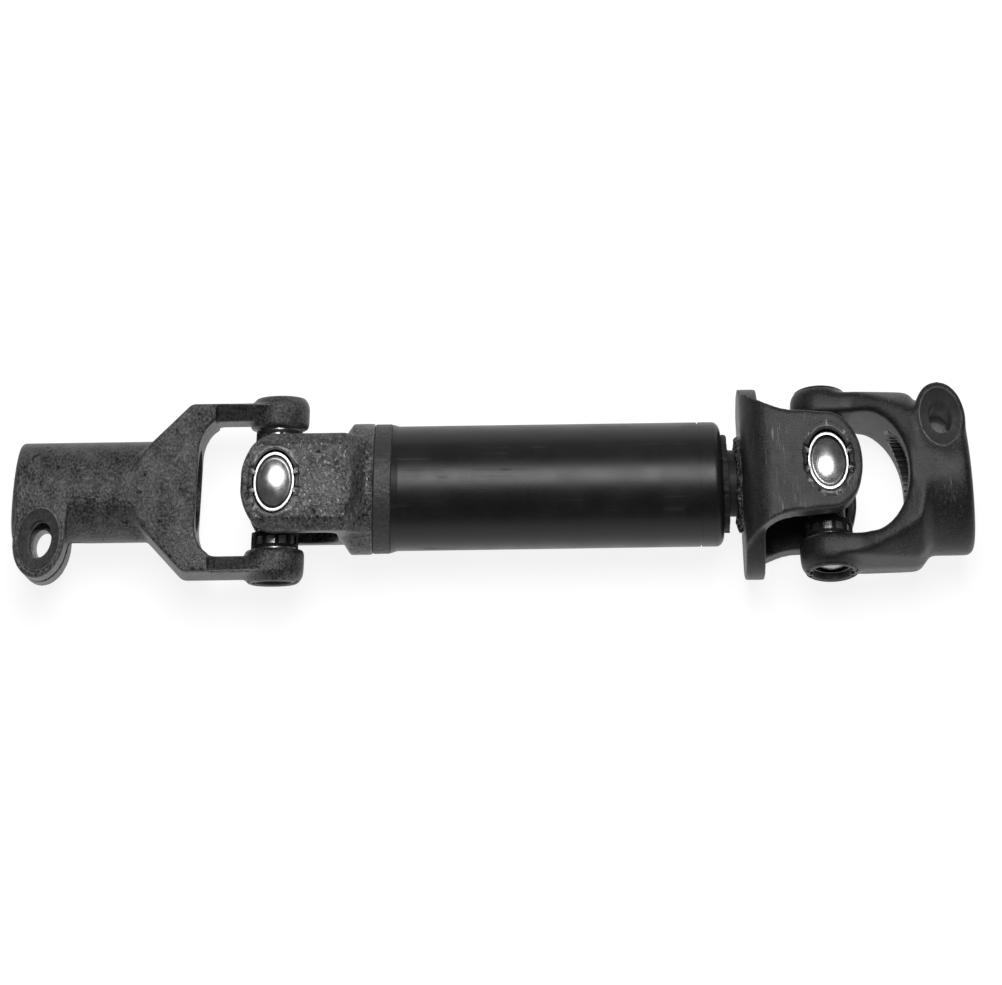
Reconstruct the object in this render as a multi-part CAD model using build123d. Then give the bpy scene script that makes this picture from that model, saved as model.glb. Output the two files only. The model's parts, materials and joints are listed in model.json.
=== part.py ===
from build123d import *
import math
import os

# A short telescoping steering shaft with a universal joint at each end, lying as it would on a bench.
# All sizes are in millimetres. The shaft's axis is X and +Z is up. The origin is on the axis, in the
# middle of the left splined bore. Each joint is drawn in its own frame, with the joint's centre at 0,
# and is then rolled about the shaft's axis and moved along it to its place.

# The two clamp hubs, each measured from its joint's centre
left_hub_end = 96.5
right_hub_end = 53.0
left_bore_length = 44.0

# The two joints are a few degrees out of phase, half of it to each side
left_roll = 4.5
right_roll = -4.5

# Needle cups, four to each joint
cup_diameter = 16.0
cup_length = 9.6
cup_end_reach = 21.6
cup_wall = 1.1
cup_floor = 1.9
cup_corner = 0.7
cup_rim_width = 1.0
cup_channel_depth = 0.6
cup_channel_width = 0.5
cup_dome_rise = 0.9

# Needles, a full set in each cup
needle_diameter = 2.0
needle_count = 18
needle_length = 6.6
needle_seat_gap = 0.01
running_gap = 0.03

# Cross: a flat forged centre with two pairs of trunnions
cross_thickness = 12.6
cross_width = 17.0
cross_corner = 2.5
cross_seat_diameter = 12.6
cross_seat_gap = 0.5
trunnion_end_gap = 0.15
trunnion_chamfer = 0.8

# Castellated seals between each ear and the cross
seal_base = 1.1
seal_skirt = 0.65
seal_window_count = 11
seal_window_height = 2.0
seal_bar_width = 1.1
seal_end_ring = 0.7
seal_lip_gap = 0.05

# Stakes that hold each cup: four tabs pushed over the cup's rim, each with its punch mark
stake_angle = 17.0
stake_width = 0.95
stake_overlap = 0.75
stake_length = 1.1
stake_height = 0.5
punch_width = 2.5
punch_length = 1.5
punch_inset = 0.4
punch_depth = 0.7
ear_bore_chamfer = 0.5

# Outer yokes: clamp hub, fork and two ears on the Y pins
fork_ear_over_cup = 1.8
fork_ear_seal_gap = 0.5
fork_arm_below_ear = 1.1
fork_ear_corner = 3.2
fork_ear_inner_corner = 1.2
forging_draft = 6.0

# Left outer yoke, with a long slim hub
left_ear_radius = 11.0
left_gap = 16.9
left_crotch = 29.0
left_crotch_corner = 8.0
left_hub_radius = 12.7
left_hub_rounding = 2.0
left_fork_depth = 12.2
left_fork_start = 9.0
left_fork_full = 22.0
left_fork_round_start = 26.0
left_fork_round_end = 26.0
left_shoulder_start = 33.0
left_shoulder_end = 58.0
left_shoulder_width = 4.9
left_shoulder_corner = 5.0
left_spline_radius = 8.7
left_spline_depth = 0.7
left_spline_teeth = 36
left_bolt_from_end = 11.2
left_bolt_offset = 12.5
left_bolt_radius = 4.7
left_tap_radius = 3.4
left_boss_radius = 9.5
left_boss_depth = 12.6
left_relief_radius = 10.2
left_bevel_strip = 1.6
left_bevel_drop = 5.0
left_bevel_end = 23.4

# Right outer yoke, with a short wide hub
right_ear_radius = 11.4
right_gap = 15.5
right_crotch = 30.0
right_crotch_corner = 15.4
right_hub_radius = 18.8
right_hub_rounding = 3.0
right_fork_depth = 18.5
right_fork_start = 10.0
right_fork_full = 34.0
right_fork_round_start = 23.9
right_fork_round_end = 22.8
right_shoulder_start = 33.0
right_shoulder_end = 43.5
right_shoulder_width = 12.0
right_shoulder_corner = 7.0
right_spline_radius = 11.4
right_spline_depth = 0.7
right_spline_teeth = 46
right_bolt_from_end = 9.8
right_bolt_offset = 12.1
right_bolt_radius = 4.5
right_tap_radius = 3.4
right_boss_radius = 9.6
right_boss_depth = 18.2
right_bore_length = 23.0
right_bevel_strip = 1.6
right_bevel_drop = 0.0
right_bevel_end = 20.0

# What both clamp hubs share. A spline's flanks are given as shares of its pitch, from its middle
spline_foot_share = 0.41
spline_root_share = 0.17
bevel_overlap = 1.0
clamp_slit = 2.4
clamp_slit_past_bolt = 15.0
spot_face_radius = 7.6
spot_face_depth = 0.4
bore_mouth_chamfer = 0.8

# Left inner yoke: two ears on the Z pins, a round base and a spigot for the tube
ear_over_cup = 1.9
ear_seal_gap = 0.3
left_inner_ear_radius = 12.3
left_inner_crotch = 23.0
left_inner_crotch_corner = 6.0
pad_half_width = 9.4
pad_bevel_drop = 3.2
pad_end = 28.6
pad_end_radius = 16.6
pad_end_slope = 8.0
pad_end_foot = 10.0
base_proud = 0.8
base_end = 36.0
base_chamfer = 5.0
base_core_radius = 8.0
spigot_length = 12.0

# Tube and what closes it
collar_length = 6.6
tube_diameter = 31.4
tube_wall = 2.2
tube_mouth_rise = 0.5
tube_mouth_length = 2.4
tube_length = 113.6
collar_proud = 0.6
collar_edge = 0.4
cap_groove_width = 0.6
cap_groove_depth = 0.35
cap_length = 8.2
cap_corner = 3.0
cap_spigot_length = 6.0
cap_bore_gap = 0.7
sleeve_length = 50.0
wiper_length = 2.0
wiper_radius = 12.8
wiper_middle_radius = 12.3
wiper_nose_radius = 11.0

# Sliding shaft
shaft_diameter = 16.8
shaft_hidden_length = 106.0
shaft_plain_length = 14.0
slide_rest_gap = 3.0
shaft_groove_depth = 1.0
shaft_groove_count = 16
shaft_tooth_foot_share = 0.32
shaft_tooth_top_share = 0.22
slide_gap = 0.05
shaft_end_chamfer = 1.0
weld_length = 2.0
weld_root_radius = 12.2
weld_nose_radius = 9.3

# Flange yoke, bent from one plate
flange_face = 31.5
flange_thickness = 7.0
flange_radius = 24.0
flange_bend_radius = 5.0
flange_ear_radius = 12.5
flange_ear_neck = 13.1
flange_ear_root = 14.6
flange_ear_flare = 20.5
flange_ear_blend = 5.0
flange_hole_radius = 7.0

# How far a cutter runs on past the face that it opens
overrun = 1.0

# Worked out from the sizes above
left_x = left_hub_end - left_bore_length / 2
cup_radius = cup_diameter / 2
cup_inner_radius = cup_radius - cup_wall
cup_open_reach = cup_end_reach - cup_length
cup_floor_reach = cup_end_reach - cup_floor
needle_radius = needle_diameter / 2
needle_circle = cup_inner_radius - needle_radius - needle_seat_gap
trunnion_radius = needle_circle - needle_radius - running_gap
trunnion_reach = cup_floor_reach - trunnion_end_gap
cross_seat_reach = cup_open_reach - seal_base - cross_seat_gap
seal_reach = cup_open_reach + seal_window_height + seal_end_ring
fork_ear_reach = cup_end_reach + fork_ear_over_cup
fork_ear_inner = seal_reach + fork_ear_seal_gap
fork_arm_outer = fork_ear_reach - fork_arm_below_ear
ear_reach = cup_end_reach + ear_over_cup
left_inner_ear_face = seal_reach + ear_seal_gap
tube_radius = tube_diameter / 2
base_radius = tube_radius + base_proud
collar_radius = tube_radius + collar_proud
tube_inner_radius = tube_radius - tube_wall
tube_start = base_end + collar_length
tube_end = tube_start + tube_length
cap_start = tube_end + cap_groove_width
cap_end = cap_start + cap_length
sleeve_end = cap_start - cap_spigot_length
shaft_radius = shaft_diameter / 2
shaft_end = cap_end + wiper_length + slide_rest_gap + weld_length
shaft_start = shaft_end - shaft_hidden_length
joint_spacing = shaft_end + flange_face
right_x = left_x + joint_spacing


def bar(radius, start, end):
    """A round bar along X."""
    return Pos((start + end) / 2, 0, 0) * Rot(Y=90) * Cylinder(radius, end - start)


def turned(outline, axis=Axis.Z):
    """A solid of revolution from a closed outline."""
    return revolve(make_face(outline), axis)


def turned_x(*points):
    """A solid turned about X, from (place along X, radius) points in order."""
    return turned(Polyline(*points, close=True), Axis.X)


def rounded_cut(half_width, start, end, half_depth, corner):
    """The space between two ears: open towards start, with rounded corners at end. Flat faces are at
    half_width on Y, and it runs through half_depth on Z."""
    outline = RectangleRounded(2 * (end - start), 2 * half_width, corner)
    return Pos(start, 0, 0) * extrude(outline, half_depth, both=True)


def spline_cutter(radius, depth, teeth, start, end):
    """What a broach takes out along X: a round bore of this radius with tapered grooves around it."""
    pitch = 2 * math.pi / teeth
    points = []
    groove = (
        (-spline_foot_share, radius - depth),
        (-spline_root_share, radius + depth),
        (spline_root_share, radius + depth),
        (spline_foot_share, radius - depth),
    )
    for tooth in range(teeth):
        for share, r in groove:
            angle = (tooth + share) * pitch
            points.append((r * math.cos(angle), r * math.sin(angle)))
    outline = Circle(radius) + make_face(Polyline(*points, close=True))
    return Pos(start, 0, 0) * Rot(Y=90) * extrude(outline, end - start)


# Bearings, each drawn on a pin along +Z from the joint's centre

def needle_cup():
    """A drawn cup: thin wall, rounded rim, a fine channel and a domed end that takes the thrust."""
    rim_inner = cup_radius - cup_corner - cup_rim_width
    dome_radius = rim_inner - cup_channel_width
    channel = cup_end_reach - cup_channel_depth
    peak = channel + cup_dome_rise
    outline = Polyline(
        (0, 0, peak),
        (0, 0, cup_floor_reach),
        (cup_inner_radius, 0, cup_floor_reach),
        (cup_inner_radius, 0, cup_open_reach),
        (cup_radius, 0, cup_open_reach),
        (cup_radius, 0, cup_end_reach - cup_corner),
        (cup_radius - cup_corner, 0, cup_end_reach),
        (rim_inner, 0, cup_end_reach),
        (rim_inner, 0, channel),
        (dome_radius, 0, channel),
    )
    dome = TangentArc((0, 0, peak), (dome_radius, 0, channel), tangent=(1, 0, 0))
    return turned(outline + dome)


def needle_set():
    """All the needles of one cup."""
    top = cup_floor_reach - needle_seat_gap
    height = top - needle_length / 2
    place = PolarLocations(needle_circle, needle_count)
    return [Pos(0, 0, height) * spot * Cylinder(needle_radius, needle_length) for spot in place]


def trunnion_seal():
    """A rubber ring against the cup's mouth, with a castellated skirt over the cup."""
    skirt_radius = cup_radius + seal_skirt
    window_top = cup_open_reach + seal_window_height
    top = window_top + seal_end_ring
    bottom = cup_open_reach - seal_base
    seal = turned(Polyline(
        (trunnion_radius + seal_lip_gap, 0, bottom),
        (skirt_radius, 0, bottom),
        (skirt_radius, 0, top),
        (cup_radius, 0, top),
        (cup_radius, 0, cup_open_reach),
        (trunnion_radius + seal_lip_gap, 0, cup_open_reach),
        close=True,
    ))
    pitch = 2 * math.pi * cup_radius / seal_window_count
    window = Box(2 * (seal_skirt + overrun), pitch - seal_bar_width, seal_window_height)
    middle = cup_open_reach + seal_window_height / 2
    for spot in PolarLocations(cup_radius + seal_skirt, seal_window_count):
        seal -= Pos(0, 0, middle) * spot * window
    return seal


def joint_cross():
    """The forged cross, with trunnions on Y and on Z."""
    centre = Box(cross_thickness, cross_width, cross_width)
    centre = fillet(centre.edges(), cross_corner)
    trunnion = Cylinder(trunnion_radius, 2 * trunnion_reach)
    trunnion = chamfer(trunnion.edges(), trunnion_chamfer)
    seat = Cylinder(cross_seat_diameter / 2, 2 * cross_seat_reach)
    arm = trunnion + seat
    return centre + arm + Rot(X=90) * arm


# The ways that the four pins of a joint point
pins = {"upper": (0, 0, 1), "lower": (0, 0, -1), "back": (0, 1, 0), "front": (0, -1, 0)}
outer_pins = ("back", "front")
inner_pins = ("upper", "lower")


def pin_turn(pin):
    """The turn about X that brings +Z onto this pin."""
    return Plane((0, 0, 0), x_dir=(1, 0, 0), z_dir=pins[pin]).location


def with_bearing_seat(yoke, pin, face):
    """Bores one ear for its cup, and stakes the ear at four places over the cup's rim. The ear's outer
    face is at this distance from the joint's centre."""
    turn = pin_turn(pin)
    depth = face - cup_open_reach + seal_window_height
    seat = Pos(0, 0, face - depth / 2) * Cylinder(cup_radius, depth)
    mouth = Pos(0, 0, face - ear_bore_chamfer / 2) * Cone(
        cup_radius, cup_radius + ear_bore_chamfer, ear_bore_chamfer
    )
    yoke -= turn * (seat + mouth)
    tab_inner = cup_radius - stake_overlap
    tab_outer = cup_radius + stake_length
    tab_bottom = cup_end_reach
    tab_top = face - punch_depth + stake_height
    for angle in (stake_angle, -stake_angle, 180 - stake_angle, 180 + stake_angle):
        aim = turn * Rot(Z=angle)
        punch = Pos(cup_radius + (punch_length - punch_inset) / 2, 0, face - punch_depth / 2)
        yoke -= aim * punch * Box(punch_length + punch_inset, punch_width, punch_depth)
        middle = Pos((tab_inner + tab_outer) / 2, 0, (tab_bottom + tab_top) / 2)
        yoke += aim * middle * Box(tab_outer - tab_inner, stake_width, tab_top - tab_bottom)
    return yoke


def arm_bevels(inner, outer, height, drop, end):
    """What comes off the inner edges of a fork's two slim arms, above and below: a slope that leaves a strip
    along the outside and falls by drop towards the gap."""
    profile = Plane.YZ * make_face(Polyline(
        (inner - bevel_overlap, height - drop),
        (outer, height),
        (outer, 2 * height),
        (inner - bevel_overlap, 2 * height),
        close=True,
    ))
    one = extrude(profile, end)
    pair = one + mirror(one, Plane.XZ)
    return pair + mirror(pair, Plane.XY)


def clamp_yoke(
    hub_end, hub_radius, hub_rounding, ear_radius, gap, crotch, crotch_corner,
    fork_depth, fork_start, fork_full, fork_round_start, fork_round_end,
    shoulder_start, shoulder_end, shoulder_width, shoulder_corner, bore_length,
    relief_radius, spline_radius, spline_depth, spline_teeth,
    bolt_from_end, bolt_offset, bolt_radius, tap_radius, boss_radius, boss_depth,
    bevel_strip, bevel_drop, bevel_end,
):
    """An outer yoke in one forging, with its pins on Y, its hub towards +X and its pinch boss on +Y."""
    bolt_x = hub_end - bolt_from_end

    # Plan of the fork, drafted away from the parting plane as it was forged
    plan = make_face(Polyline(
        (0, fork_arm_outer),
        (shoulder_start, fork_arm_outer),
        (shoulder_end, shoulder_width),
        (shoulder_end, -shoulder_width),
        (shoulder_start, -fork_arm_outer),
        (0, -fork_arm_outer),
        close=True,
    ))
    outer_corners = plan.vertices().sort_by(Axis.X)[2:]
    plan = fillet(outer_corners, shoulder_corner)
    fork = extrude(plan, fork_depth, taper=forging_draft)
    fork += Rot(X=180) * fork

    # The fork seen from the side: as deep as the ears at the pins, and deeper towards the hub
    side = make_face(Polyline(
        (0, ear_radius),
        (fork_start, ear_radius),
        (fork_full, fork_depth),
        (shoulder_end, fork_depth),
        (shoulder_end, -fork_depth),
        (fork_full, -fork_depth),
        (fork_start, -ear_radius),
        (0, -ear_radius),
        close=True,
    ))
    fork &= Rot(X=90) * extrude(side, fork_ear_reach, both=True)

    # A round fork runs over into its hub without a step, so it is limited by a shape turned about X
    fork &= turned_x(
        (-ear_radius, 0),
        (-ear_radius, fork_round_start),
        (fork_start, fork_round_start),
        (shoulder_start, fork_round_end),
        (shoulder_end, shoulder_width + fork_round_end - fork_arm_outer),
        (shoulder_end, 0),
    )

    # Hub, level with the fork's faces as far as the fork goes, and the pinch boss beside it
    hub = bar(hub_radius, crotch, hub_end)
    hub = fillet(hub.edges().group_by(Axis.X)[-1], hub_rounding)
    over_fork = Box(2 * shoulder_end, 2 * hub_radius, 2 * hub_radius)
    over_fork -= Box(2 * shoulder_end, 2 * hub_radius, 2 * fork_depth)
    hub -= over_fork
    boss = Pos(bolt_x, bolt_offset, 0) * Cylinder(boss_radius, 2 * boss_depth)
    web_start = bolt_x - boss_radius
    web = Pos((web_start + hub_end - hub_rounding) / 2, bolt_offset / 2, 0) * Box(
        hub_end - hub_rounding - web_start, bolt_offset, 2 * boss_depth
    )
    web &= Pos(bolt_x, 0, 0) * Box(2 * boss_radius, 4 * boss_radius, 2 * boss_depth)
    yoke = fork + hub + boss + web

    # The gap between the ears, then the round ears with their rounded outer corners
    yoke -= rounded_cut(gap, -ear_radius, crotch, 2 * hub_radius, crotch_corner)
    if bevel_drop > 0:
        yoke -= arm_bevels(gap, fork_arm_outer - bevel_strip, ear_radius, bevel_drop, bevel_end)
    ear_length = fork_ear_reach - fork_ear_inner
    ear = Pos(0, 0, fork_ear_inner + ear_length / 2) * Cylinder(ear_radius, ear_length)
    ear = fillet(ear.edges().group_by(Axis.Z)[-1], fork_ear_corner)
    ear = fillet(ear.edges().group_by(Axis.Z)[0], fork_ear_inner_corner)
    for pin in outer_pins:
        yoke += pin_turn(pin) * ear

    # Splined bore with a plain relief from there to the crotch, and a chamfered mouth
    bore_start = hub_end - bore_length
    open_start = crotch - crotch_corner
    yoke -= bar(relief_radius, open_start, bore_start)
    yoke -= spline_cutter(spline_radius, spline_depth, spline_teeth, open_start, hub_end + overrun)
    mouth = Pos(hub_end - bore_mouth_chamfer / 2, 0, 0) * Rot(Y=90) * Cone(
        spline_radius + spline_depth, spline_radius + spline_depth + bore_mouth_chamfer, bore_mouth_chamfer
    )
    yoke -= mouth

    # The slit that lets the hub clamp, and the pinch bolt's hole: clear above the slit, the size for a
    # tapped thread below it, with a spot face at each end that is cut down through the hub's side
    slit_start = bolt_x - clamp_slit_past_bolt
    slit_length = hub_end - slit_start + overrun
    slit_reach = bolt_offset + boss_radius + overrun
    yoke -= Pos(slit_start + slit_length / 2, slit_reach / 2, 0) * Box(slit_length, slit_reach, clamp_slit)
    yoke -= Pos(bolt_x, bolt_offset, 0) * Cylinder(tap_radius, 4 * boss_depth)
    yoke -= Pos(bolt_x, bolt_offset, boss_depth) * Cylinder(bolt_radius, 2 * boss_depth)
    for face in (1, -1):
        spot_middle = boss_depth - spot_face_depth + hub_radius / 2
        yoke -= Pos(bolt_x, bolt_offset, face * spot_middle) * Cylinder(spot_face_radius, hub_radius)
    for pin in outer_pins:
        yoke = with_bearing_seat(yoke, pin, fork_ear_reach)
    return yoke


def left_outer_yoke():
    """The left yoke has its hub towards -X and its boss on -Y."""
    return Rot(Z=180) * clamp_yoke(
        left_hub_end, left_hub_radius, left_hub_rounding, left_ear_radius, left_gap, left_crotch,
        left_crotch_corner, left_fork_depth, left_fork_start, left_fork_full, left_fork_round_start,
        left_fork_round_end, left_shoulder_start, left_shoulder_end, left_shoulder_width,
        left_shoulder_corner,
        left_bore_length, left_relief_radius, left_spline_radius, left_spline_depth, left_spline_teeth,
        left_bolt_from_end, left_bolt_offset, left_bolt_radius, left_tap_radius, left_boss_radius,
        left_boss_depth, left_bevel_strip, left_bevel_drop, left_bevel_end,
    )


def right_outer_yoke():
    """The right yoke has its hub towards +X and its boss on +Y, and smooth arms."""
    return clamp_yoke(
        right_hub_end, right_hub_radius, right_hub_rounding, right_ear_radius, right_gap, right_crotch,
        right_crotch_corner, right_fork_depth, right_fork_start, right_fork_full, right_fork_round_start,
        right_fork_round_end, right_shoulder_start, right_shoulder_end, right_shoulder_width,
        right_shoulder_corner,
        right_bore_length, right_spline_radius, right_spline_radius, right_spline_depth, right_spline_teeth,
        right_bolt_from_end, right_bolt_offset, right_bolt_radius, right_tap_radius, right_boss_radius,
        right_boss_depth, right_bevel_strip, right_bevel_drop, right_bevel_end,
    )


def left_inner_yoke():
    """The forged yoke on the tube: two ears on Z with a flat pad each, and a round base with a spigot."""
    plan = Circle(left_inner_ear_radius) + Pos(base_end / 2, 0) * Rectangle(
        base_end, 2 * left_inner_ear_radius
    )
    ears = extrude(plan, ear_reach, both=True)

    # Each pad is narrower than its ear, with a bevel along both sides
    bevel_height = ear_reach - pad_bevel_drop
    section = make_face(Polyline(
        (-left_inner_ear_radius, -bevel_height),
        (-pad_half_width, -ear_reach),
        (pad_half_width, -ear_reach),
        (left_inner_ear_radius, -bevel_height),
        (left_inner_ear_radius, bevel_height),
        (pad_half_width, ear_reach),
        (-pad_half_width, ear_reach),
        (-left_inner_ear_radius, bevel_height),
        close=True,
    ))
    length = base_end + 2 * left_inner_ear_radius
    ears &= Pos(-left_inner_ear_radius, 0, 0) * Rot(Y=90) * Rot(Z=90) * extrude(section, length)

    # The pads end in an arc, and fall from there to the round base
    arc_x = pad_end - pad_end_radius
    slope = ear_reach - pad_end_foot
    fall = Pos(arc_x, 0, ear_reach - slope / 2) * Cone(pad_end_radius + pad_end_slope, pad_end_radius, slope)
    keep = fall + Rot(X=180) * fall
    keep += Box(2 * arc_x, 4 * left_inner_ear_radius, 4 * ear_reach)
    keep += Box(4 * base_end, 4 * left_inner_ear_radius, 2 * pad_end_foot)
    ears &= keep

    # Round base and spigot, drilled hollow from the tube's side
    base_start = left_inner_crotch
    base = turned_x(
        (base_start, 0),
        (base_start, base_radius - base_chamfer),
        (base_start + base_chamfer, base_radius),
        (base_end, base_radius),
        (base_end, tube_inner_radius),
        (base_end + spigot_length, tube_inner_radius),
        (base_end + spigot_length, base_core_radius),
        (base_end, base_core_radius),
        (base_end - base_chamfer, 0),
    )
    yoke = ears + base
    core = turned_x(
        (base_end + spigot_length, 0),
        (base_end + spigot_length, base_core_radius),
        (base_end, base_core_radius),
        (base_end - base_chamfer, 0),
    )
    yoke -= core
    gap = rounded_cut(
        left_inner_ear_face, -left_inner_ear_radius, left_inner_crotch, 2 * base_radius,
        left_inner_crotch_corner,
    )
    yoke -= Rot(X=90) * gap
    for pin in inner_pins:
        yoke = with_bearing_seat(yoke, pin, ear_reach)
    return yoke


def flange_yoke():
    """The yoke on the sliding shaft, bent from one plate: a round middle and two ears on Z."""
    length = flange_face + flange_ear_radius
    middle = flange_ear_radius - length / 2
    inner_face = ear_reach - flange_thickness
    outer = Pos(middle + length / 2, 0) * RectangleRounded(
        2 * length, 2 * ear_reach, flange_bend_radius + flange_thickness
    )
    inner = Pos(middle + length / 2, 0) * RectangleRounded(
        2 * (length - flange_thickness), 2 * inner_face, flange_bend_radius
    )
    bent = Rot(X=90) * extrude(outer - inner, flange_radius, both=True)

    # What is left of the plate, seen along the shaft and seen along the pins
    disc = bar(flange_radius, -flange_face, -flange_face + flange_thickness)
    half = flange_ear_radius
    root = -flange_face / 2
    upper = ThreePointArc(
        (-flange_face, flange_ear_flare),
        (root - flange_ear_blend, flange_ear_root),
        (root + flange_ear_blend, flange_ear_neck),
    )
    lower = mirror(upper, Plane.XZ)
    strip = make_face(
        upper
        + Line(upper @ 1, (0, half))
        + ThreePointArc((0, half), (half, 0), (0, -half))
        + Line((0, -half), lower @ 1)
        + lower
        + Line(lower @ 0, upper @ 0)
    )
    ears = extrude(strip, ear_reach, both=True)
    yoke = bent & (disc + ears)
    yoke -= bar(flange_hole_radius, -flange_face - overrun, -flange_face + flange_thickness + overrun)
    for pin in inner_pins:
        yoke = with_bearing_seat(yoke, pin, ear_reach)
    return yoke


# Tube and sliding shaft, drawn with the left joint's centre at 0

def tube_collar():
    """The ring that is welded over the joint between the yoke and the tube."""
    return turned_x(
        (base_end, tube_inner_radius),
        (base_end, collar_radius - collar_edge),
        (base_end + collar_edge, collar_radius),
        (tube_start - collar_edge, collar_radius),
        (tube_start, collar_radius - collar_edge),
        (tube_start, tube_inner_radius),
    )


def outer_tube():
    """The plain tube, swaged up a little where it meets the collar."""
    return turned_x(
        (tube_start, tube_inner_radius),
        (tube_start, tube_radius + tube_mouth_rise),
        (tube_start + tube_mouth_length, tube_radius),
        (tube_end, tube_radius),
        (tube_end, tube_inner_radius),
    )


def tube_cap():
    """The ring that closes the tube: a fine groove, a rounded corner and a spigot in the tube."""
    bore = shaft_radius + cap_bore_gap
    cap = turned_x(
        (sleeve_end, bore),
        (sleeve_end, tube_inner_radius),
        (tube_end, tube_inner_radius),
        (tube_end, tube_radius - cap_groove_depth),
        (cap_start, tube_radius - cap_groove_depth),
        (cap_start, tube_radius),
        (cap_end, tube_radius),
        (cap_end, bore),
    )
    face_edges = cap.edges().filter_by(GeomType.CIRCLE).group_by(Axis.X)[-1]
    return fillet(face_edges.sort_by(SortBy.LENGTH)[-1], cap_corner)


def slide_sleeve():
    """The plastic sleeve in the tube that the shaft's splines slide in."""
    start = sleeve_end - sleeve_length
    sleeve = bar(tube_inner_radius, start, sleeve_end)
    return sleeve - splined_bar(shaft_radius + slide_gap, slide_gap, start - overrun, sleeve_end + overrun)


def splined_bar(radius, growth, start, end):
    """A bar with grooves along it. Growth makes the bar's teeth wider all round, for the sleeve's bore."""
    pitch = 2 * math.pi / shaft_groove_count
    root = shaft_radius - shaft_groove_depth + growth
    foot = shaft_tooth_foot_share * pitch + growth / radius
    top = shaft_tooth_top_share * pitch + growth / radius
    points = []
    for tooth in range(shaft_groove_count):
        for angle, r in ((-foot, root), (-top, radius), (top, radius), (foot, root)):
            turn = tooth * pitch + angle
            points.append((r * math.cos(turn), r * math.sin(turn)))
    outline = make_face(Polyline(*points, close=True))
    return Pos(start, 0, 0) * Rot(Y=90) * extrude(outline, end - start)


def wiper_seal():
    """The rubber seal on the cap's face, with its lip just clear of the shaft."""
    lip = shaft_radius + seal_lip_gap
    return turned_x(
        (cap_end, lip),
        (cap_end, wiper_radius),
        (cap_end + wiper_length / 2, wiper_middle_radius),
        (cap_end + wiper_length, wiper_nose_radius),
        (cap_end + wiper_length, lip),
    )


def sliding_shaft():
    """The inner shaft: splined where it runs in the sleeve, then plain, with a spigot in the flange yoke."""
    spline_end = shaft_end - shaft_plain_length
    splines = splined_bar(shaft_radius, 0.0, shaft_start, spline_end)
    ends = turned_x(
        (shaft_start, 0),
        (shaft_start, shaft_radius - shaft_end_chamfer),
        (shaft_start + shaft_end_chamfer, shaft_radius),
        (shaft_end, shaft_radius),
        (shaft_end, 0),
    )
    plain = bar(shaft_radius, spline_end, shaft_end)
    spigot = bar(flange_hole_radius, shaft_end, shaft_end + flange_thickness)
    return (splines & ends) + plain + spigot


def flange_weld():
    """The weld bead around the shaft on the flange yoke's face."""
    return turned_x(
        (shaft_end - weld_length, shaft_radius),
        (shaft_end - weld_length, weld_nose_radius),
        (shaft_end, weld_root_radius),
        (shaft_end, shaft_radius),
    )


# Every piece goes to its place and into its own file

os.makedirs("parts", exist_ok=True)
left_place = Pos(left_x, 0, 0) * Rot(X=left_roll)
right_place = Pos(right_x, 0, 0) * Rot(X=right_roll)
tube_place = Pos(left_x, 0, 0)


def save(name, place, shape):
    """Writes one piece where it lies in the whole."""
    pieces = [place * piece for piece in shape] if isinstance(shape, list) else [place * shape]
    solids = [solid for piece in pieces for solid in piece.solids()]
    export_step(solids[0] if len(solids) == 1 else Compound(children=solids), f"parts/{name}.step")
    print(name, len(solids), "solids")


save("left_outer_yoke", left_place, left_outer_yoke())
save("left_inner_yoke", left_place, left_inner_yoke())
save("tube_collar", tube_place, tube_collar())
save("outer_tube", tube_place, outer_tube())
save("tube_cap", tube_place, tube_cap())
save("slide_sleeve", tube_place, slide_sleeve())
save("wiper_seal", tube_place, wiper_seal())
save("sliding_shaft", tube_place, sliding_shaft())
save("flange_weld", tube_place, flange_weld())
save("flange_yoke", right_place, flange_yoke())
save("right_outer_yoke", right_place, right_outer_yoke())
for side, place in (("left", left_place), ("right", right_place)):
    save(f"{side}_cross", place, joint_cross())
    for pin in pins:
        pin_place = place * pin_turn(pin)
        save(f"{side}_{pin}_cup", pin_place, needle_cup())
        save(f"{side}_{pin}_needles", pin_place, needle_set())
        save(f"{side}_{pin}_seal", pin_place, trunnion_seal())
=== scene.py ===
# %% [markdown]
# # A steering shaft with two universal joints
# The imported solids come in first as a fixed frame. They already have the true sizes and places, so the
# rest of this file is about how the shaft looks: light, camera, finishes, and the forged skin of the four
# yokes. The box of the bare solids is measured and printed here.

# %% Load the frame
import json
import math

import bmesh
import bpy
from mathutils import Matrix, Vector


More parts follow.
